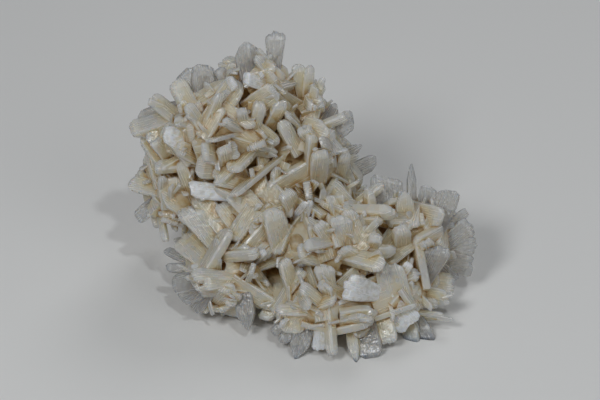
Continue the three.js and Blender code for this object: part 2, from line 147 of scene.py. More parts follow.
# The crystals that show on the display side, from the viewer's place:
# (root across, root up, tip across, tip up, breadth, thickness, turn of the broad face in degrees,
# rise of the tip towards the viewer, habit, finish). Across and up are measured in the viewing plane.
shownCrystals = [
    # crown
    (-5.7, 66.6, -7.2, 76.8, 6, 2, 10, 1, "fan", "clear"),
    (-14.4, 64.5, -15.9, 73.8, 8.5, 2.2, 15, 0, "point", "clear"),
    (-22.8, 61.5, -24.3, 66, 4, 2.5, 20, 2, "round", "clear"),
    (-6.3, 63.3, -12.9, 69.3, 3.6, 2.2, 30, 4, "blade", "soft"),
    (-29.4, 59.4, -28.8, 67.2, 7.5, 2.5, 20, 0, "round", "clear"),
    (-31.5, 58.5, -35.1, 64.8, 8, 2.2, 5, 0, "blade", "clear"),
    (-26.4, 63, -19.2, 61.8, 4.6, 1.6, 70, 5, "blunt", "pearly"),
    (-9.6, 60.6, -16.2, 62.7, 4, 2.4, 10, 5, "blunt", "pearly"),
    (0.9, 61.5, -0.6, 67.2, 4.5, 2, 15, 1, "round", "soft"),
    (1.8, 61.2, 2.7, 66.6, 3.5, 2.5, 25, 1, "round", "soft"),
    (3.9, 57.6, 6.6, 61.8, 4, 2, 10, 0, "blade", "soft"),
    (1.5, 60.6, 3.3, 54, 3, 2, 50, 5, "blade", "soft"),
    # head, left side
    (-29.7, 47.1, -36.6, 62.1, 5.4, 3.6, 25, 7, "blunt", "soft"),
    (-36, 55.2, -50.4, 47.7, 6, 3, 40, 3, "blunt", "soft"),
    (-34.5, 42, -39.9, 46.8, 6, 3, 0, 6, "blade", "pearly"),
    (-36, 58, -48.5, 50.5, 7, 1.8, -20, 0, "round", "clear"),
    (-39, 42, -45.5, 47.4, 6, 2, 5, 3, "blade", "soft"),
    (-38, 51, -44, 57.5, 5, 2, 20, 0, "blade", "soft"),
    (-29.1, 46.8, -23.1, 58.2, 3.4, 2, 40, 6, "blade", "soft"),
    (-27.9, 45, -33, 55.2, 4, 2.4, 30, 6, "round", "soft"),
    (-23.4, 48.6, -27.6, 60.6, 7, 2.4, 0, 2, "blade", "soft"),
    (-15, 46.8, -22.2, 50.1, 3, 2.6, 45, 5, "round", "soft"),
    (-17.1, 46.2, -26.7, 44.1, 4.5, 1.2, 80, 5, "blunt", "soft"),
    (-40.5, 36, -46.2, 46.5, 6, 2.4, 20, 0, "blade", "soft"),
    (-38.4, 36.6, -42.6, 45, 5, 2, 10, 2, "blunt", "soft"),
    (-31.5, 37.5, -36, 42.6, 5, 2.4, 15, 3, "blade", "soft"),
    # head, middle and right
    (-13.5, 54, -6.9, 59.4, 7, 2.6, 15, 2, "blade", "soft"),
    (-12.6, 45, -11.4, 55.5, 4, 3, 20, 3, "blunt", "soft"),
    (-8.4, 46.5, -5.1, 56.1, 4.6, 2.6, 35, 4, "blade", "soft"),
    (-15, 49.5, -17.1, 53.4, 3.6, 2.6, 10, 5, "round", "soft"),
    (-19.5, 51, -21.6, 60, 6, 2.4, 5, 1, "blade", "soft"),
    (1.2, 49.8, -4.2, 52.5, 3.2, 1.4, 75, 5, "blunt", "soft"),
    (3.5, 52.5, 4.6, 58.6, 6, 2, -10, 2, "blade", "soft"),
    (-1.5, 42, -5.6, 50.4, 4.4, 3, 20, 4, "blade", "soft"),
    (6, 44.5, 0.6, 48, 4, 2.6, -25, 4, "blunt", "soft"),
    (9, 49.5, 10.8, 55.8, 5, 1.6, 0, 0, "point", "clear"),
    (10.5, 48, 15.9, 51.6, 6.5, 1.8, 10, 0, "blade", "clear"),
    (4.5, 49.8, 13.8, 51.9, 3, 2.4, 40, 4, "blunt", "soft"),
    (13.5, 42, 6, 44.4, 4, 2, 50, 5, "blade", "soft"),
    (15, 39.6, 18.6, 43.5, 3.6, 1.8, 15, 0, "point", "clear"),
    (17.4, 35.4, 23.1, 39, 5, 2, 20, 0, "blade", "clear"),
    (3.3, 35.4, 3.6, 46.2, 3.4, 2.6, 30, 3, "blunt", "soft"),
    (6.6, 32.4, 6, 41.4, 5.6, 3, 15, 4, "round", "soft"),
    (15, 30.6, 13.5, 41.4, 4, 3, 20, 3, "blade", "soft"),
    (-21.6, 33.6, -22.2, 42.6, 5, 3, 20, 3, "blade", "soft"),
    (-23.4, 37.5, -28.5, 41.4, 6, 2.6, 20, 5, "blade", "soft"),
    (-12, 41.4, -20.4, 35.4, 6, 2.2, 40, 4, "blade", "soft"),
    (-5.1, 28.5, -7.2, 36.6, 4, 2, 40, 2, "blade", "soft"),
    # left shoulder
    (-44.4, 30, -51, 32.4, 5, 2.2, 20, 1, "round", "soft"),
    (-45, 30, -48.3, 35.7, 2.2, 1.8, 10, 0, "blunt", "soft"),
    (-45, 25.8, -48.9, 21.3, 4.8, 1.6, 0, 0, "round", "clear"),
    (-48.3, 28.2, -39.9, 14.4, 2.2, 2, 30, 4, "blunt", "soft"),
    (-43.2, 28.2, -40.5, 33.9, 2.8, 2, 30, 5, "round", "soft"),
    (-39.6, 25.5, -37.8, 31.5, 2.4, 1.5, 60, 4, "blade", "soft"),
    (-31.2, 35.4, -42.9, 36.6, 4, 3, 40, 4, "blunt", "soft"),
    (-20, 34.5, -30.5, 37, 8, 3, -25, 2.5, "blade", "soft"),
    (-17, 38.5, -25, 33, 7, 3, 30, 2.5, "blade", "soft"),
    (-14, 33.5, -24.5, 34.2, 6, 3, 10, 1.5, "blunt", "soft"),
    (-18.6, 30.3, -32.7, 30.3, 5, 3, 5, 3, "blunt", "pearly"),
    (-7.5, 39, -19.8, 28.2, 5, 1.5, 70, 4, "blunt", "soft"),
    (-11.4, 21, -18.9, 29.4, 7.5, 2, 10, 0, "blunt", "soft"),
    (-18, 16.5, -23.4, 26.1, 6, 2, 20, 0, "blade", "soft"),
    (-25.5, 14.1, -33, 24.6, 7, 2.6, 10, 2, "fan", "soft"),
    (-28.5, 17.4, -36, 23.4, 5, 2, 30, 3, "fan", "soft"),
    # belly
    (-7.5, 9.6, -8.1, 24.6, 7, 4, 15, 5, "round", "soft"),
    (-1.2, 25.8, -4.2, 29.4, 5.5, 3, 20, 7, "round", "soft"),
    (0, 22.2, 3, 27, 2.6, 2, 0, 6, "blade", "pearly"),
    (5.4, 27, 27.9, 23.4, 4.6, 3.4, 55, 8, "blunt", "soft"),
    (15.6, 23.4, 24.3, 21, 3.4, 2.4, 40, 5, "round", "soft"),
    (15, 12.6, 11.4, 22.5, 6.5, 2.5, 15, 3, "fan", "soft"),
    (9, 15, 5.4, 20.4, 5, 2.4, 20, 3, "blade", "soft"),
    (10.5, 15.6, 1.2, 13.5, 4, 2.6, 30, 5, "round", "soft"),
    (7.5, 8.4, -0.6, 12, 6, 2.6, 20, 4, "round", "soft"),
    (9, 0, 6.6, 8.4, 6, 2.6, 15, 3, "fan", "soft"),
    (-3.9, 1.5, -4.8, 9.9, 4.5, 2.6, 20, 5, "round", "soft"),
    (15, 10.5, 28.2, 12, 4.5, 2.4, 35, 5, "blade", "soft"),
    (13.5, 0, 5.4, 3, 4, 2.4, 30, 4, "blade", "soft"),
    (6.6, -3, 0, 2.1, 4.5, 2.4, 25, 4, "blade", "soft"),
    # left foot
    (-27.9, 8.4, -35.1, 16.2, 8.5, 3, 5, 4, "fan", "soft"),
    (-26.4, 12, -12, 11.4, 3.6, 3, 20, 5, "blunt", "soft"),
    (-25.5, 14.1, -14.4, 12.9, 3, 2.4, 45, 4, "blade", "soft"),
    (-36, 10.8, -40.5, 12, 3, 2, 20, 0, "round", "clear"),
    (-35.7, 7.8, -39.9, 6.9, 3, 2, 20, 0, "round", "clear"),
    (-31.2, 3.6, -37.8, 1.8, 6, 2, 10, 0, "blade", "clear"),
    (-30, 0.6, -35.4, -2.4, 6, 2, 10, 0, "round", "clear"),
    (-27.6, -0.6, -31.2, -5.7, 5, 2, 15, 0, "blade", "clear"),
    (-27.9, -2.1, -28.5, -6.3, 2.4, 1.6, 10, 0, "blunt", "soft"),
    (-16.2, 4.2, -32.1, 5.1, 4.4, 3, 30, 6, "fan", "soft"),
    (-18, 2.1, -28.5, 2.4, 4, 2, 20, 4, "fan", "soft"),
    (-15.9, 2.4, -15.3, -11.4, 5.8, 3, 15, 5, "point", "clear"),
    (-18, 0, -20.7, -4.2, 3.6, 2, 10, 3, "round", "soft"),
    # front foot
    (-6.3, 3.3, -9.9, -4.5, 2.4, 2, 30, 5, "blade", "soft"),
    (-4.2, 3.6, 2.7, -4.2, 3.6, 2, 30, 5, "blade", "soft"),
    (2.4, -5.7, -7.2, -5.1, 3.8, 3, 20, 5, "round", "soft"),
    (0, -3, -3, -12, 7, 3, 5, 3, "round", "soft"),
    (-9, -1.5, -11.1, -8.4, 4.5, 2.4, 15, 3, "blade", "soft"),
    (-4.2, -7.8, -8.1, -12.3, 4, 2, 10, 1, "round", "clear"),
    (-2.4, -9, -5.1, -15, 4, 2, 20, 1, "blade", "clear"),
    (0.9, -10.5, -1.2, -19.5, 6, 2, 5, 2, "point", "clear"),
    (6.6, -8.4, 5.4, -16.8, 4.2, 1.8, -15, 3, "blunt", "pearly"),
    (8.1, -1.2, 9.3, -18, 3.2, 3, 45, 5, "blunt", "soft"),
    (15.9, -13.2, 16.5, -20.7, 3.4, 3, 20, 2, "point", "soft"),
    (19.8, -10.8, 21, -19.2, 7.5, 2.2, 10, 2, "blade", "clear"),
    (10.5, -11.4, 19.5, -6.6, 3.6, 1.8, 55, 5, "blade", "soft"),
    # right foot
    (24, 0.6, 12.9, 2.1, 8, 3, 0, 6, "fan", "pearly"),
    (29.4, -3, 25.5, 8.1, 9, 3, 5, 4, "blade", "soft"),
    (25.5, -3, 31.5, -10.5, 11, 2.4, 0, 5, "fan", "pearly"),
    (24, -7.5, 25.8, -15, 7, 2.2, 10, 4, "blade", "soft"),
    (33.6, -13.8, 42.3, -7.5, 3.2, 1.8, 50, 1, "blunt", "soft"),
    (35.4, -3.6, 40.5, -3.6, 3, 2, 20, 1, "blunt", "soft"),
    (35.4, -10.5, 38.4, -15.3, 5, 1.6, 10, 0, "blade", "clear"),
    (32.4, -10.5, 33.6, -15.9, 5, 2, 20, 0, "round", "soft"),
    (39, -0.6, 44.1, -2.1, 5, 1.8, 10, 0, "blade", "soft"),
    # right lobe
    (33.6, 28.2, 33.3, 38.1, 2.8, 2, 20, 2, "point", "clear"),
    (25.5, 23.4, 25.8, 33.9, 9.5, 2, 5, 0, "blunt", "clear"),
    (32.4, 31.2, 42.3, 21.6, 6.6, 2.6, 10, 6, "round", "soft"),
    (39, 22.5, 38.4, 31.2, 6, 2, 0, 0, "round", "clear"),
    (42, 20.4, 45, 30, 7.5, 2.2, 5, 0, "round", "clear"),
    (47.4, 20.4, 50.1, 23.7, 2.8, 1.8, 10, 0, "blunt", "clear"),
    (45, 12, 51.3, 19.8, 6.5, 2.4, 10, 2, "fan", "clear"),
    (45, 10.5, 52.8, 13.5, 6, 2, 15, 2, "fan", "clear"),
    (45, 6.6, 51.6, 8.4, 5, 2, 20, 1, "blade", "clear"),
    (30, 12, 29.7, 19.2, 5.5, 3.4, 20, 7, "round", "soft"),
    (23.4, 12, 22.5, 16.2, 4.5, 3, 20, 7, "round", "soft"),
    (39, 2.4, 41.4, 13.5, 7.5, 2.6, 10, 4, "fan", "clear"),
    (39.6, 8.4, 37.2, 15, 5, 2.4, 25, 4, "blade", "soft"),
    (44.4, 8.4, 51.6, 5.4, 5, 1.8, 10, 0, "blade", "clear"),
    (43.5, 5.4, 46.8, 3, 4, 2, 20, 0, "round", "clear"),
]

# Small crystals that sparkle, in rows of the same kind. They come last, and move none of the others.
sparklingCrystals = [
    (30.2, 5.6, 32, 8.4, 2.8, 1.8, 0, 7, "blunt", "pearly"),
    (-11.6, 9.2, -10.4, 12, 2.4, 1.8, 0, 6, "blunt", "pearly"),
    (-1.8, 24, 1.8, 26.4, 2.2, 1.6, 0, 8, "blade", "pearly"),
]

# Hollows between the crystals, as (across, up, radius), which the painted shade of the openness colours makes
# brown
hollowDepth = 1.8  # of their middles, behind the skin
hollows = [
    (-0.9, 38, 4.2),
    (-15.6, 56.4, 3.6),
    (-4.5, 57.5, 2.6),
    (-4.2, 49.5, 2.8),
    (-9.3, 32.5, 3.0),
    (-12, 26, 2.4),
    (-20, 21, 2.2),
    (-23.7, 7.5, 2.4),
    (13.2, -6.6, 2.6),
    (-1.5, 14.5, 3.2),
    (13.8, 6.9, 2.6),
    (11, 45, 2.2),
    (6.5, 34, 2.6),
    (38, 9, 2.2),
    (-31, 41, 2.2),
    (-6.9, -0.6, 1.8),
]


# Over 1 inside the mound and under 1 outside
def levelAt(points):
    offsets = (np.asarray(points)[..., None, :] - lumpMiddles) / lumpReaches
    return np.exp(mound["sharpness"] * (1 - (offsets**2).sum(axis=-1))).sum(axis=-1)


def unit(vectors):
    return vectors / np.linalg.norm(vectors, axis=-1, keepdims=True)


def squareTo(axis, vector):
    return unit(vector - axis * vector.dot(axis))


def leaned(ahead, sideways, degrees):
    lean = math.radians(degrees)
    return ahead * math.cos(lean) + sideways * math.sin(lean)


def turnedAbout(vector, axis, angle):
    along = axis * vector.dot(axis)
    return along + (vector - along) * math.cos(angle) + np.cross(axis, vector) * math.sin(angle)


def anySideways(ahead):
    return unit(np.cross(ahead, dice.normal(size=3)))


def outsideBox(point, inside):
    return (point < boxLow + inside).any() or (point > boxHigh - inside).any()


def tooNear(point, taken, spacing):
    return ((taken - point) ** 2).sum(axis=1).min() < spacing**2


def outOfSkin(points):
    steps = np.eye(3) * mound["slopeStep"]
    slope = [levelAt(points - step) - levelAt(points + step) for step in steps]
    return unit(np.stack(slope, axis=-1))


def inViewingPlane(u, v, out):
    return u * across + v * upward + out * toViewer


# How far towards the viewer the skin is, or where the sight line passes the mound nearest
def skinTowardsViewer(u, v):
    outs = np.arange(mound["reach"], -mound["reach"], -mound["step"])
    levels = levelAt(u * across + v * upward + outs[:, None] * toViewer)
    inside = np.flatnonzero(levels > 1)
    return outs[inside[0]] if inside.size else outs[levels.argmax()]


def rootUnder(point):
    root = point.copy()
    while levelAt(root) < mound["rootedLevel"]:
        root = root - outOfSkin(root) * mound["step"]
    return root


scatterRates = {"perPlace": 12.9898, "perSalt": 78.233, "spread": 43758.5453}


# A number from 0 to 1 that looks random and is the same each time
def scatter(i, salt):
    wave = math.sin(i * scatterRates["perPlace"] + salt * scatterRates["perSalt"]) * scatterRates["spread"]
    return wave - math.floor(wave)


def between(pair, share):
    return pair[0] + (pair[1] - pair[0]) * share


# A pearly crystal turns its broad face to the light, any other one to the viewer and then by its turn
def shownCrystal(row):
    rootU, rootV, tipU, tipV, breadth, thickness, turn, rise, habit, finish = row
    root = rootUnder(inViewingPlane(rootU, rootV, skinTowardsViewer(rootU, rootV)))
    tip = inViewingPlane(tipU, tipV, skinTowardsViewer(tipU, tipV) + rise)
    axis = unit(tip - root)
    if finish == "pearly":
        facing = squareTo(axis, glint)
    else:
        facing = turnedAbout(squareTo(axis, toViewer), axis, math.radians(turn))
    return {
        "root": root,
        "tip": tip,
        "breadth": breadth,
        "thickness": thickness,
        "facing": facing,
        "habit": habit,
        "finish": finish,
    }


goldenAngle = math.pi * (3 - math.sqrt(5))


# Directions spread evenly over a ball for a drop of 2, or over its upper half for a drop of 1
def spiral(count, drop):
    counts = np.arange(count)
    height = 1 - drop * (counts + 0.5) / count
    flat = np.sqrt(1 - height**2)
    around = counts * goldenAngle
    return np.stack([flat * np.cos(around), flat * np.sin(around), height], axis=-1)


# Points of the skin, spread evenly over each lump in turn
def skinPoints(tries):
    outward = (spiral(tries, 2)[None] * lumpReaches[:, None]).reshape(-1, 3)
    points = np.repeat(lumpMiddles, tries, axis=0) + outward
    steps = unit(outward) * mound["step"]
    inside = levelAt(points) > 1
    while inside.any():
        points[inside] += steps[inside]
        inside = levelAt(points) > 1
    return points


# The same points in a drawn order, each with the way that the skin faces there
def shuffledSkin(tries):
    skins = skinPoints(tries)
    skins = skins[dice.permutation(len(skins))]
    return zip(skins, outOfSkin(skins))


# The crystals that a formula sets over the rest of the mound, finer on the display side than behind
scattered = {
    "triesOnALump": 300,
    "turn": 90,  # degrees between the broad faces that differ most
    "lowest": 4,
    "inFront": {
        "spacing": 7.3,
        "lean": (25, 65),  # degrees from straight out of the skin
        "length": (6.5, 11),
        "breadth": (3.4, 6.5),
        "thickness": (1.8, 3),
    },
    "behind": {
        "spacing": 10.5,
        "lean": (45, 75),
        "length": (8, 12),
        "breadth": (6, 10),
        "thickness": (3, 5),
    },
    "habits": ["blade", "blunt", "blade", "fan", "point", "blade"],
    "coveredShares": (0.5, 0.85),  # where along a shown crystal the spacing is kept, too
}


def scatteredCrystal(skin, out, kind, i):
    sideways = squareTo(out, np.array([scatter(i, 1), scatter(i, 2), scatter(i, 3)]) - 0.5)
    axis = leaned(out, sideways, between(kind["lean"], scatter(i, 4)))
    turn = math.radians(scattered["turn"]) * (scatter(i, 8) - 0.5)
    return {
        "root": rootUnder(skin),
        "tip": skin + axis * between(kind["length"], scatter(i, 5)),
        "breadth": between(kind["breadth"], scatter(i, 6)),
        "thickness": between(kind["thickness"], scatter(i, 7)),
        "facing": turnedAbout(out, axis, turn),
        "habit": scattered["habits"][math.floor(scatter(i, 9) * len(scattered["habits"]))],
        "finish": "soft",
    }


def scatteredCrystals(shown):
    shares = scattered["coveredShares"]
    taken = [c["root"] + (c["tip"] - c["root"]) * share for c in shown for share in shares]
    made = []
    skins = skinPoints(scattered["triesOnALump"])
    for i, (skin, out) in enumerate(zip(skins, outOfSkin(skins))):
        kind = scattered["inFront" if out.dot(toViewer) > 0 else "behind"]
        if skin[2] < scattered["lowest"] or tooNear(skin, np.array(taken), kind["spacing"]):
            continue
        taken.append(skin)
        made.append(scatteredCrystal(skin, out, kind, i))
    return made


def distancesToCrystals(point, starts, ends):
    starts, ends = np.atleast_2d(starts, ends)
    spans = ends - starts
    shares = np.clip(((point - starts) * spans).sum(axis=1) / (spans**2).sum(axis=1), 0, 1)
    return np.linalg.norm(starts + spans * shares[:, None] - point, axis=1)


def inAHollow(crystal, hollowMiddles):
    gaps = [distancesToCrystals(middle, crystal["root"], crystal["tip"])[0] for middle in hollowMiddles]
    return any(gap < radius for gap, (_, _, radius) in zip(gaps, hollows))


# The low crystals that cover the mound between the large ones: only their ends stand out of it
lowCrystals = {
    "triesOnALump": 900,
    "lowest": 2.5,
    "inFront": {
        "spacing": 5.3,
        "length": (8, 15),
        "breadth": (3.5, 8),
        "thickness": (1.5, 3.2),
        "rise": (-1.7, 1.0),  # of the tip over the skin
    },
    "behind": {
        "spacing": 5.6,
        "length": (9, 15),
        "breadth": (3.5, 8),
        "thickness": (1.8, 3.2),
        "rise": (-1.2, 2.2),
    },
    "depth": (1.8, 3.2),  # of the root under the skin
    "turn": 45,  # degrees by which a broad face turns from the skin, at most
    "habits": ["blade", "round", "blade", "fan", "round", "point"],
    "grain": 8,  # millimetres over which neighbouring crystals turn their way
    "phases": (0, 2, 4),  # which keep the three parts of that way from turning together
    "spread": 40,  # degrees by which they usually differ from that way
    "clearance": 0.3,  # of a tip, from the large crystals
    "inside": 2.2,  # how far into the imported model's box every tip stays
}


def lowCrystal(skin, out, kind):
    shared = np.sin(skin / lowCrystals["grain"] + np.array(lowCrystals["phases"]))
    swing = math.radians(dice.normal() * lowCrystals["spread"])
    tangent = turnedAbout(unit(np.cross(out, shared)), out, swing)
    length = dice.uniform(*kind["length"])
    target = skin + tangent * length
    while levelAt(target) < 1:
        target = target - outOfSkin(target) * mound["step"]
    tip = target + outOfSkin(target) * dice.uniform(*kind["rise"])
    axis = unit(tip - skin)
    turn = math.radians(dice.uniform(-lowCrystals["turn"], lowCrystals["turn"]))
    return {
        "root": skin - out * dice.uniform(*lowCrystals["depth"]),
        "tip": tip,
        "breadth": dice.uniform(*kind["breadth"]),
        "thickness": dice.uniform(*kind["thickness"]),
        "facing": turnedAbout(out, axis, turn),
        "habit": dice.choice(lowCrystals["habits"]),
        "finish": "soft",
    }


def lowCrystalsAround(large, hollowMiddles):
    starts = np.array([c["root"] for c in large])
    ends = np.array([c["tip"] for c in large])
    reaches = np.array([c["breadth"] for c in large]) / 2 + lowCrystals["clearance"]
    taken = np.full((1, 3), farAway)
    made = []
    for skin, out in shuffledSkin(lowCrystals["triesOnALump"]):
        kind = lowCrystals["inFront" if out.dot(toViewer) > displayLimit else "behind"]
        if skin[2] < lowCrystals["lowest"] or tooNear(skin, taken, kind["spacing"]):
            continue
        crystal = lowCrystal(skin, out, kind)
        outside = outsideBox(crystal["tip"], lowCrystals["inside"])
        meetsLarge = (distancesToCrystals(crystal["tip"], starts, ends) < reaches).any()
        if outside or meetsLarge or inAHollow(crystal, hollowMiddles):
            continue
        taken = np.vstack([taken, skin])
        made.append(crystal)
    return made


# The slivers that grow out of the larger crystals, one from each that isn't clear
slivers = {
    "place": (0.25, 0.85),  # along its crystal
    "length": (2.5, 5.5),
    "breadth": (1.2, 3.0),
    "thickness": (0.7, 1.4),
    "lean": (4, 38),  # degrees from the way that its crystal points
    "habits": ["blade", "point", "blunt"],
    "offMiddle": (0.1, 0.4),  # of the root, as a share of the crystal's thickness
    "deepestLevel": 1.6,  # none is rooted deeper in the mound
    "inside": 1.0,
}


def sliverOn(crystal):
    span = crystal["tip"] - crystal["root"]
    axis = unit(span)
    place = dice.uniform(*slivers["place"])
    sideways = anySideways(axis)
    root = crystal["root"] + span * place
    root = root + sideways * crystal["thickness"] * dice.uniform(*slivers["offMiddle"])
    direction = leaned(axis, sideways, dice.uniform(*slivers["lean"]))
    tip = root + direction * dice.uniform(*slivers["length"])
    if outsideBox(tip, slivers["inside"]) or levelAt(root) > slivers["deepestLevel"]:
        return None
    return {
        "root": root,
        "tip": tip,
        "breadth": dice.uniform(*slivers["breadth"]),
        "thickness": dice.uniform(*slivers["thickness"]),
        "facing": sideways,
        "habit": dice.choice(slivers["habits"]),
        "finish": "soft",
        "sliver": True,
    }


def sliversOn(crystals):
    made = [sliverOn(crystal) for crystal in crystals if crystal["finish"] != "clear"]
    return [sliver for sliver in made if sliver]


# The small chips that stand in the gaps, closest together on the display side
chips = {
    "triesOnALump": 500,
    "spacing": 5.6,
    "spacingBehind": 11.2,
    "lowest": 2.5,
    "length": (4, 7),
    "breadth": (1.2, 3.2),
    "thickness": (0.6, 1.5),
    "lean": (5, 75),  # degrees from straight out of the skin
    "habits": ["blade", "point", "blunt"],
    "finishes": ["soft", "soft", "soft", "glinting"],
    "depth": 2.6,  # of the root under the skin
    "clearance": 0.4,  # from the edge of a hollow
}


def chipsAround(hollowMiddles):
    clearings = np.array([radius for _, _, radius in hollows]) + chips["clearance"]
    taken = np.full((1, 3), farAway)
    made = []
    for skin, out in shuffledSkin(chips["triesOnALump"]):
        spacing = chips["spacing" if out.dot(toViewer) > displayLimit else "spacingBehind"]
        if skin[2] < chips["lowest"] or tooNear(skin, taken, spacing):
            continue
        if (np.linalg.norm(hollowMiddles - skin, axis=1) < clearings).any():
            continue
        taken = np.vstack([taken, skin])
        sideways = anySideways(out)
        axis = leaned(out, sideways, dice.uniform(*chips["lean"]))
        root = skin - out * chips["depth"]
        made.append(
            {
                "root": root,
                "tip": root + axis * dice.uniform(*chips["length"]),
                "breadth": dice.uniform(*chips["breadth"]),
                "thickness": dice.uniform(*chips["thickness"]),
                "facing": turnedAbout(sideways, axis, dice.uniform(0, math.pi)),
                "habit": dice.choice(chips["habits"]),
                "finish": dice.choice(chips["finishes"]),
            }
        )
    return made


# A lath is an eight-sided bar with bevelled edges, which narrows to its tip
barSides = 8  # as many as the corners of each ring in addLath
lath = {
    "bevel": 0.35,  # of half the thickness or half the breadth, whichever is less
    "wobble": 0.03,  # of the breadth, from ring to ring
    "ringEvery": 2.0,  # millimetres along the body
    "endRings": (0.85, 0.93, 1),  # where the end starts, is divided and stops, along the length
    "slant": 0.45,  # how far one side of an end can reach past the other
    "slantPower": 4,  # the more, the nearer to the tip the slant begins
}


# The faces of a bar: both ends, then the sides from ring to ring
def barFaces(rings):
    last = rings * barSides - 1
    faces = [list(range(barSides)), [last - k for k in range(barSides)]]
    for ring in range(rings - 1):
        low = ring * barSides
        high = low + barSides
        for k in range(barSides):
            beside = (k + 1) % barSides
            faces.append([low + beside, low + k, high + k, high + beside])
    return faces


def addLath(collection, start, axis, normal, length, breadth, thickness, habit, finish):
    side = np.cross(normal, axis)
    rows = np.array(habits[habit]["rows"])
    corners = []
    grains = []
    lathNumber = len(collection.objects)
    endRings = lath["endRings"]
    bodyRings = max(2, round(length * endRings[0] / lath["ringEvery"]))
    shares = [*np.linspace(0, endRings[0], bodyRings), *endRings[1:]]
    slant = dice.uniform(-lath["slant"], lath["slant"])
    for share in shares:
        wobble = 1 + dice.uniform(-lath["wobble"], lath["wobble"])
        halfBreadth = breadth / 2 * np.interp(share, rows[:, 0], rows[:, 1]) * wobble
        halfThickness = thickness / 2 * np.interp(share, rows[:, 0], rows[:, 2])
        bevel = lath["bevel"] * min(halfThickness, halfBreadth)
        inner, outer = halfThickness - bevel, halfThickness
        middle = start + axis * (length * share)
        for sign in (1, -1):
            for thick, broad in (
                (outer, bevel - halfBreadth),
                (outer, halfBreadth - bevel),
                (inner, halfBreadth),
                (-inner, halfBreadth),
            ):
                lean = axis * (slant * sign * broad * share ** lath["slantPower"])
                corners.append(middle + lean + sign * (normal * thick + side * broad))
                grains.append((sign * broad, length * share, lathNumber))
    corners = np.minimum(corners, boxHigh - boxMargin)
    corners[:, :2] = np.maximum(corners[:, :2], boxLow[:2] + boxMargin)
    faces = barFaces(len(shares))
    mesh = bpy.data.meshes.new("lath")
    mesh.from_pydata(corners * millimetre, [], faces)
    for name, value in finish.items():
        mesh.attributes.new(name, "FLOAT", "FACE").data.foreach_set("value", np.full(len(faces), value))
    edges = [0.0, 1.0]  # the root's end is no edge, and the tip's is
    for row in range(len(shares) - 1):
        edges += [float(k % 2 or row >= len(shares) - len(endRings)) for k in range(barSides)]
    mesh.attributes.new("edge", "FLOAT", "FACE").data.foreach_set("value", edges)
    grain = mesh.attributes.new("grain", "FLOAT_VECTOR", "CORNER")
    used = np.array([corner for face in faces for corner in face])
    grains = np.array(grains)[used]
    grains[: 2 * barSides, 0] = 0  # the ends carry no striae
    grain.data.foreach_set("vector", grains.ravel())
    collection.objects.link(bpy.data.objects.new("lath", mesh))


# Each crystal is one broad lath, its body, with narrow laths grown over its broad faces and past its end
bundle = {
    "body": {"fan": 0.95, "other": 0.98},  # the body's length, as a share of the crystal's
    "lathBreadth": {"fan": 1.6, "other": 2.6},  # there is a narrow lath for each such stretch of it
    "rootSpread": {"fan": 0.5, "other": 0.85},  # how far apart they start, as a share of the breadth
    "breadth": (0.25, 0.5),  # of a lath, as a share of the crystal's
    "thickness": (0.93, 1.06),
    "length": (0.72, 1.0),  # of every other lath
    "splayWobble": 1.5,  # degrees
    "smallUnder": 3.2,  # a crystal narrower than this is its body alone, unless it is a fan
}


def addCrystal(collection, crystal, finish):
    axis = unit(crystal["tip"] - crystal["root"])
    start = crystal["root"] - axis * (0 if "sliver" in crystal else mound["rootLength"])
    length = np.linalg.norm(crystal["tip"] - start)
    normal = squareTo(axis, crystal["facing"])
    side = np.cross(normal, axis)
    habit = crystal["habit"]
    breadth, thickness = crystal["breadth"], crystal["thickness"]
    kind = "fan" if habit == "fan" else "other"
    addLath(collection, start, axis, normal, length * bundle["body"][kind], breadth, thickness, habit, finish)
    plain = kind == "other" and (breadth < bundle["smallUnder"] or finish["clear"])
    count = 0 if plain else round(breadth / bundle["lathBreadth"][kind])
    for k in range(count):
        lathShare = dice.uniform(*bundle["breadth"])
        place = (2 * (k + 0.5) / count - 1) * (1 - lathShare)  # from -1 at one edge to 1 at the other
        wobble = dice.uniform(-bundle["splayWobble"], bundle["splayWobble"])
        splay = math.radians(habits[habit]["splay"] * place + wobble)
        taper = 1 - habits[habit]["taper"] * place**2
        addLath(
            collection,
            start + side * (place * breadth / 2 * bundle["rootSpread"][kind]),
            turnedAbout(axis, normal, -splay),
            normal,
            length * taper * (dice.uniform(*bundle["length"]) if k % 2 else 1.0),
            breadth * lathShare,
            thickness * dice.uniform(*bundle["thickness"]),
            "blade" if habit == "fan" else habit,
            finish,
        )


# How clear and how pearly each finish is, which the material reads from the faces; pearl whitens the colour
# as painted sheen, besides a glossy coat
finishes = {
    "soft": {"clear": 0.0, "pearl": 0.0},
    "clear": {"clear": 1.0, "pearl": 0.0},
    "pearly": {"clear": 0.0, "pearl": 0.75},
    "glinting": {"clear": 0.0, "pearl": 0.35},
}
groundBlock = (400, 400, 200)  # which cuts the resting spot, up to the ground plane


def newCollection(name):
    collection = bpy.data.collections.new(name)
    bpy.context.scene.collection.children.link(collection)
    return collection


# Sizes what was just added, moves it to its place and keeps it in one collection alone
def settle(collection, middle, size):
    solid = bpy.context.object
    solid.data.transform(Matrix.LocRotScale(Vector(middle) * millimetre, None, Vector(size) * millimetre))
    for owner in solid.users_collection:
        owner.objects.unlink(solid)
    collection.objects.link(solid)


def addLump(collection, middle, reach):
    bpy.ops.mesh.primitive_ico_sphere_add(subdivisions=mound["roundness"])
    settle(collection, middle, Vector(reach) * mound["filling"])


# Joins or cuts the base with every solid of the collection, and keeps the result alone
def worked(base, operation, operands):
    work = base.modifiers.new("work", "BOOLEAN")
    work.operation = operation
    work.operand_type = "COLLECTION"
    work.collection = operands
    work.solver = "MANIFOLD"
    mesh = bpy.data.meshes.new_from_object(base.evaluated_get(bpy.context.evaluated_depsgraph_get()))
    base.modifiers.clear()
    base.data = mesh
    for used in list(operands.objects):
        bpy.data.objects.remove(used)
    bpy.data.collections.remove(operands)


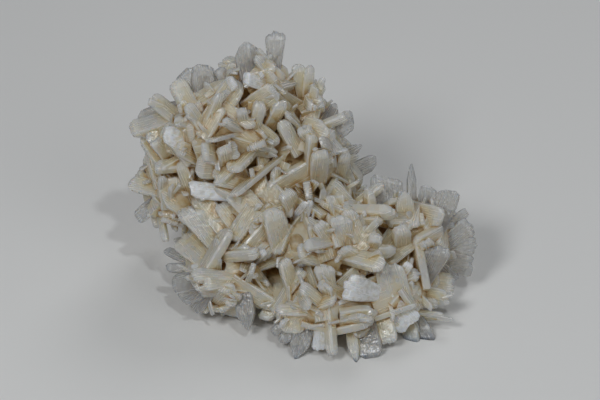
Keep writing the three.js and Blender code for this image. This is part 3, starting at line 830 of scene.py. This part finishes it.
# Leaves out what isn't grown together with the rest
def keepLargestPart(piece):
    shape = bmesh.new()
    shape.from_mesh(piece.data)
    waiting = set(shape.verts)
    parts = []
    while waiting:
        part = {waiting.pop()}
        front = list(part)
        while front:
            for edge in front.pop().link_edges:
                for vertex in edge.verts:
                    if vertex in waiting:
                        waiting.remove(vertex)
                        part.add(vertex)
                        front.append(vertex)
        parts.append(part)
    largest = max(parts, key=len)
    loose = [vertex for part in parts if part is not largest for vertex in part]
    print("loose parts left out:", len(parts) - 1, "with", len(loose), "corners")
    bmesh.ops.delete(shape, geom=loose, context="VERTS")
    shape.to_mesh(piece.data)
    shape.free()


# The mound with its hollows, before any crystal grows on it
def bareMound(hollowMiddles):
    lumps = newCollection("lumps")
    for middle, reach in mound["lumps"].values():
        addLump(lumps, middle, reach)
    base = lumps.objects[0]
    lumps.objects.unlink(base)
    bpy.context.scene.collection.objects.link(base)
    base.name = "stilbiteCluster"
    worked(base, "UNION", lumps)
    cavities = newCollection("cavities")
    for middle, (_, _, radius) in zip(hollowMiddles, hollows):
        addLump(cavities, middle - toViewer * hollowDepth, (radius, radius, radius))
    worked(base, "DIFFERENCE", cavities)
    return base


shown = [shownCrystal(row) for row in shownCrystals]
large = shown + scatteredCrystals(shown)
hollowMiddles = np.array([inViewingPlane(u, v, skinTowardsViewer(u, v)) for u, v, _ in hollows])
low = lowCrystalsAround(large, hollowMiddles)
print("crystals worked out:", len(shown), "shown,", len(large) - len(shown), "scattered,", len(low), "low")

fine = sliversOn(large + low) + chipsAround(hollowMiddles)
print("slivers and chips worked out:", len(fine))
sparkling = [shownCrystal(row) for row in sparklingCrystals]
cluster = bareMound(hollowMiddles)
crystals = newCollection("crystals")
for crystal in large + low + fine + sparkling:
    addCrystal(crystals, crystal, finishes[crystal["finish"]])
worked(cluster, "UNION", crystals)
ground = newCollection("ground")
bpy.ops.mesh.primitive_cube_add(size=1)
settle(ground, (0, 0, -groundBlock[2] / 2), groundBlock)
worked(cluster, "DIFFERENCE", ground)
keepLargestPart(cluster)
print("joined:", sum(len(face.vertices) - 2 for face in cluster.data.polygons), "triangles")


# How much free room each corner looks out on, from 0 deep between crystals to 1 at a free tip, from which the
# material paints shade in the hollows and highlight at the tips
hollowSearch = {
    "rays": 14,
    "reach": 11,  # millimetres, past which a ray is free
    "lift": 0.05,  # of a ray's start from the skin
    "gain": 1.25,  # so that a corner with most of its rays free counts as open
}


def addOpenness(piece):
    mesh = piece.data
    tree = BVHTree.FromPolygons([v.co for v in mesh.vertices], [p.vertices for p in mesh.polygons])
    rays = spiral(hollowSearch["rays"], 1)
    reach = hollowSearch["reach"] * millimetre
    openness = []
    for vertex in mesh.vertices:
        normal = vertex.normal
        turn = Vector((0, 0, 1)).rotation_difference(normal).to_matrix()
        start = vertex.co + normal * (hollowSearch["lift"] * millimetre)
        free = 0
        for ray in rays @ np.array(turn).T:
            distance = tree.ray_cast(start, ray, reach)[3]
            free += 1 if distance is None else (distance / reach) ** 2
        openness.append(free / len(rays))
    values = np.clip(np.array(openness) * hollowSearch["gain"], 0, 1)
    mesh.attributes.new("openness", "FLOAT", "POINT").data.foreach_set("value", values)


# Depths are in metres, and scales are what the noises count in a metre
stilbite = {
    "rustColour": (0.20, 0.09, 0.03, 1),
    # painted shade, deep between the crystals and in the hollows
    "deepShadeColour": (0.36, 0.20, 0.07, 1),
    "hollowShadeColour": (0.60, 0.43, 0.21, 1),
    "bodyColour": (0.79, 0.69, 0.49, 1),
    # painted light on open places
    "openLitColour": (0.83, 0.76, 0.61, 1),
    # painted highlight at the tips and on the edges and ends, and the paler striae
    "highlightAndStriaColour": (0.87, 0.84, 0.77, 1),
    "clearColour": (0.64, 0.65, 0.66, 1),
    # painted sheen of the pearly faces
    "paintedPearlSheenColour": (0.92, 0.94, 0.97, 1),
    "colourStops": {  # how open a place is where each colour shows: painted shade where it is closed in, painted highlight where it is open
        "deepShadeColour": 0.0,
        "hollowShadeColour": 0.3,
        "bodyColour": 0.56,
        "openLitColour": 0.82,
        "highlightAndStriaColour": 1.0,
    },
    "noiseRange": (0.3, 0.7),  # which most of a noise's values lie in
    "cloudScale": 140.0,
    "cloudShift": 0.14,  # how far the clouds move a place between the stops
    "clearShare": 0.8,
    "clearSmoothness": 0.7,  # how far the striae fade on the clear crystals
    "patchRange": (0.36, 0.56),  # of the uneven noise, from the dull patches to the bright ones
    "pearlPatches": (0.35, 1.0),  # how pearly the dull and the bright patches of a pearly face are
    # how far the edges and ends are whitened as painted highlight
    "paintedEdgeHighlightShare": 0.6,
    "striaRange": (0.5, 0.64),  # of the striae's noise, from no paler line to a full one
    "striaShare": 0.09,
    "depthOfGlow": 0.006,
    "glowRadius": (1.0, 0.85, 0.68),
    "roughness": (0.1, 0.34),
    "pearlRoughness": 0.27,
    "coatRoughness": 0.12,
    "pearlTransmission": 0.1,
    "transmissionStops": (0.3, 1.0),  # how open a place is where the body lets least and most through
    "bodyTransmission": (0.24, 0.44),
    "clearTransmission": 0.66,
    "edgeTransmission": 0.85,  # of what the broad faces let through
    "inside": (0.86, 0.72, 0.5, 1),
    "insideDensity": 70.0,
    "refraction": 1.5,
    "bumpStrength": 0.8,
    "striationScale": (2.6, 0.09, 5.3),
    "striationDepth": 0.00007,
    "rustScale": 600.0,
    "rustRange": (0.66, 0.72),  # of its noise, from no rust to a full speck
    "rustStops": (0.4, 0.2),  # how open a place is where no speck and every speck shows
    "unevenScale": 700.0,
    "unevenDepth": 0.0004,
}


def newNode(tree, kind, **values):
    node = tree.nodes.new(kind)
    for name, value in values.items():
        if hasattr(node, name):
            setattr(node, name, value)
        else:
            node.inputs[name].default_value = value
    return node


# Links a node's output to a socket, or sets the socket to a plain value
def feed(tree, socket, value):
    if isinstance(value, bpy.types.NodeSocket):
        tree.links.new(value, socket)
    else:
        socket.default_value = value


def mixColours(tree, share, first, second):
    mix = newNode(tree, "ShaderNodeMix", data_type="RGBA")
    for socket, value in ((mix.inputs["Factor"], share), (mix.inputs[6], first), (mix.inputs[7], second)):
        feed(tree, socket, value)
    return mix.outputs[2]


def mixNumbers(tree, share, first, second):
    mix = newNode(tree, "ShaderNodeMix", data_type="FLOAT")
    for socket, value in ((mix.inputs["Factor"], share), (mix.inputs[2], first), (mix.inputs[3], second)):
        feed(tree, socket, value)
    return mix.outputs[0]


def calculated(tree, operation, first, second):
    node = newNode(tree, "ShaderNodeMath", operation=operation)
    tree.links.new(first, node.inputs[0])
    tree.links.new(second, node.inputs[1])
    return node.outputs[0]


def mapped(tree, value, fromLow, fromHigh, toLow=0.0, toHigh=1.0):
    ranged = newNode(tree, "ShaderNodeMapRange")
    tree.links.new(value, ranged.inputs["Value"])
    for name, number in zip(("From Min", "From Max", "To Min", "To Max"), (fromLow, fromHigh, toLow, toHigh)):
        ranged.inputs[name].default_value = number
    return ranged.outputs["Result"]


def attribute(tree, name, output="Fac"):
    return newNode(tree, "ShaderNodeAttribute", attribute_name=name).outputs[output]


def noise(tree, place, **values):
    node = newNode(tree, "ShaderNodeTexNoise", **values)
    tree.links.new(place, node.inputs["Vector"])
    return node.outputs["Fac"]


# Fine lines along each crystal, since its laths carry where across and along them a corner lies
def striaNoise(tree):
    stretch = newNode(tree, "ShaderNodeMapping", vector_type="POINT", Scale=stilbite["striationScale"])
    tree.links.new(attribute(tree, "grain", "Vector"), stretch.inputs["Vector"])
    return noise(tree, stretch.outputs["Vector"], Scale=1.0, Detail=3.0, Roughness=0.6)


# Painted shade and highlight: from brown deep between the crystals, where shade falls, through the stilbite's
# cream, to nearly white at the open tips, where light falls
def opennessShadeAndHighlight(tree, openness):
    node = newNode(tree, "ShaderNodeValToRGB")
    stops = node.color_ramp.elements
    while len(stops) < len(stilbite["colourStops"]):
        stops.new(0.5)
    for stop, (name, position) in zip(stops, stilbite["colourStops"].items()):
        stop.position = position
        stop.color = stilbite[name]
    tree.links.new(openness, node.inputs["Fac"])
    return node.outputs["Color"]


def rustSpecks(tree, place, openness):
    specks = noise(tree, place, Scale=stilbite["rustScale"], Detail=1.0)
    deep = mapped(tree, openness, *stilbite["rustStops"])
    return calculated(tree, "MULTIPLY", mapped(tree, specks, *stilbite["rustRange"]), deep)


def bumps(tree, uneven, striae):
    strength = stilbite["bumpStrength"]
    rough = newNode(tree, "ShaderNodeBump", Strength=strength, Distance=stilbite["unevenDepth"])
    tree.links.new(uneven, rough.inputs["Height"])
    fine = newNode(tree, "ShaderNodeBump", Strength=strength, Distance=stilbite["striationDepth"])
    tree.links.new(striae, fine.inputs["Height"])
    tree.links.new(rough.outputs["Normal"], fine.inputs["Normal"])
    return fine.outputs["Normal"]


def stilbiteMaterial():
    material = bpy.data.materials.new("stilbite")
    material.use_nodes = True
    tree = material.node_tree
    place = newNode(tree, "ShaderNodeTexCoord").outputs["Object"]
    clear = attribute(tree, "clear")
    edge = attribute(tree, "edge")
    openness = attribute(tree, "openness")
    clouds = noise(tree, place, Scale=stilbite["cloudScale"], Detail=3.0)
    shift = mapped(tree, clouds, *stilbite["noiseRange"], -stilbite["cloudShift"], stilbite["cloudShift"])
    shifted = calculated(tree, "ADD", openness, shift)
    striae = striaNoise(tree)
    smooth = calculated(tree, "MAXIMUM", edge, mapped(tree, clear, 0, 1, 0, stilbite["clearSmoothness"]))
    striaeAway = mixNumbers(tree, smooth, striae, 0.5)  # the striae, left out on the edges and ends
    uneven = noise(tree, place, Scale=stilbite["unevenScale"], Detail=2.0)
    patches = mapped(tree, uneven, *stilbite["patchRange"], *stilbite["pearlPatches"])
    pearl = calculated(tree, "MULTIPLY", attribute(tree, "pearl"), patches)

    # Painted shade in the hollows and painted highlight at the tips, over the stilbite's own cream
    colour = opennessShadeAndHighlight(tree, shifted)
    striaShare = mapped(tree, striaeAway, *stilbite["striaRange"], 0, stilbite["striaShare"])
    colour = mixColours(tree, striaShare, colour, stilbite["highlightAndStriaColour"])
    # Painted highlight along the edges and ends
    paintedEdgeHighlightShare = mapped(tree, edge, 0, 1, 0, stilbite["paintedEdgeHighlightShare"])
    colour = mixColours(tree, paintedEdgeHighlightShare, colour, stilbite["highlightAndStriaColour"])
    colour = mixColours(tree, rustSpecks(tree, place, openness), colour, stilbite["rustColour"])
    clearShare = mapped(tree, clear, 0, 1, 0, stilbite["clearShare"])
    colour = mixColours(tree, clearShare, colour, stilbite["clearColour"])
    # Painted sheen whitens the pearly faces
    colour = mixColours(tree, pearl, colour, stilbite["paintedPearlSheenColour"])

    body = mapped(tree, shifted, *stilbite["transmissionStops"], *stilbite["bodyTransmission"])
    clarity = mixNumbers(tree, clear, body, stilbite["clearTransmission"])
    clarity = mixNumbers(tree, pearl, clarity, stilbite["pearlTransmission"])
    clarity = calculated(tree, "MULTIPLY", clarity, mapped(tree, edge, 0, 1, 1, stilbite["edgeTransmission"]))
    roughness = mapped(tree, striae, *stilbite["noiseRange"], *stilbite["roughness"])
    roughness = mixNumbers(tree, pearl, roughness, stilbite["pearlRoughness"])

    looks = {
        "Base Color": colour,
        "Roughness": roughness,
        "Transmission Weight": clarity,
        "Coat Weight": pearl,
        "Coat Roughness": stilbite["coatRoughness"],
        "IOR": stilbite["refraction"],
        "Subsurface Weight": 1.0,
        "Subsurface Radius": stilbite["glowRadius"],
        "Subsurface Scale": stilbite["depthOfGlow"],
        "Normal": bumps(tree, uneven, striaeAway),
    }
    for name, value in looks.items():
        feed(tree, tree.nodes["Principled BSDF"].inputs[name], value)
    absorption = newNode(
        tree,
        "ShaderNodeVolumeAbsorption",
        Color=stilbite["inside"],
        Density=stilbite["insideDensity"],
    )
    tree.links.new(absorption.outputs["Volume"], tree.nodes["Material Output"].inputs["Volume"])
    return material


floorLook = {"size": 3.0, "colour": (0.72, 0.72, 0.71, 1), "roughness": 0.7}


def addFloor():
    half = floorLook["size"] / 2
    mesh = bpy.data.meshes.new("floor")
    corners = [(-half, -half, 0), (half, -half, 0), (half, half, 0), (-half, half, 0)]
    mesh.from_pydata(corners, [], [(0, 1, 2, 3)])
    floor = bpy.data.objects.new("floor", mesh)
    bpy.context.scene.collection.objects.link(floor)
    material = bpy.data.materials.new("paleFloor")
    material.use_nodes = True
    shader = material.node_tree.nodes["Principled BSDF"]
    shader.inputs["Base Color"].default_value = floorLook["colour"]
    shader.inputs["Roughness"].default_value = floorLook["roughness"]
    mesh.materials.append(material)


lamps = {
    "key": {"at": (-0.36, -0.52, 0.66), "size": 0.28, "power": 3.1, "colour": (0.98, 0.99, 1.0)},
    "fill": {"at": (0.6, -0.6, 0.55), "size": 0.7, "power": 1.1, "colour": (0.97, 0.99, 1.0)},
    "spark": {"at": (0.18, -0.40, 0.85), "size": 0.06, "power": 1.3, "colour": (0.94, 0.98, 1.0)},
    "rim": {"at": (0.25, 0.6, 0.7), "size": 0.4, "power": 1.5, "colour": (0.97, 0.98, 1.0)},
}
lampTarget = (0, 0, 0.03)
surround = {"colour": (0.94, 0.96, 1.0, 1), "strength": 0.1}


def pointAt(thing, target):
    thing.rotation_euler = (Vector(target) - thing.location).to_track_quat("-Z", "Y").to_euler()


def addLamps():
    for name, lamp in lamps.items():
        light = bpy.data.lights.new(name, "AREA")
        light.shape = "DISK"
        light.size = lamp["size"]
        light.energy = lamp["power"]
        light.color = lamp["colour"]
        holder = bpy.data.objects.new(name, light)
        holder.location = lamp["at"]
        bpy.context.scene.collection.objects.link(holder)
        pointAt(holder, lampTarget)
    world = bpy.data.worlds.new("surround")
    world.use_nodes = True
    background = world.node_tree.nodes["Background"]
    background.inputs["Color"].default_value = surround["colour"]
    background.inputs["Strength"].default_value = surround["strength"]
    bpy.context.scene.world = world


viewpoint = {
    "distance": 1.0,  # metres from the middle of what the image shows
    "sensor": 36.0,
    "pixel": 0.3,  # millimetres of the object to one pixel of the image
    "restingSpot": (300, 290),  # the pixel at which the origin shows
    "image": (600, 400),
}


def addCamera():
    camera = bpy.data.cameras.new("camera")
    breadthShown = viewpoint["image"][0] * viewpoint["pixel"] * millimetre
    camera.sensor_width = viewpoint["sensor"]
    camera.lens = viewpoint["sensor"] * viewpoint["distance"] / breadthShown
    offsetU = (viewpoint["image"][0] / 2 - viewpoint["restingSpot"][0]) * viewpoint["pixel"]
    offsetV = (viewpoint["restingSpot"][1] - viewpoint["image"][1] / 2) * viewpoint["pixel"]
    target = Vector(inViewingPlane(offsetU, offsetV, 0) * millimetre)
    holder = bpy.data.objects.new("camera", camera)
    holder.location = target + Vector(toViewer) * viewpoint["distance"]
    bpy.context.scene.collection.objects.link(holder)
    pointAt(holder, target)
    bpy.context.scene.camera = holder


if "UVMap" in cluster.data.attributes:
    cluster.data.attributes.remove(cluster.data.attributes["UVMap"])
addOpenness(cluster)
print("openness found")
cluster.data.materials.clear()
cluster.data.materials.append(stilbiteMaterial())
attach(cluster, "root")
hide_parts("stilbite_cluster")
addFloor()
addLamps()
addCamera()
bpy.context.scene.view_settings.view_transform = "Standard"
print("material, floor, lamps and camera set")
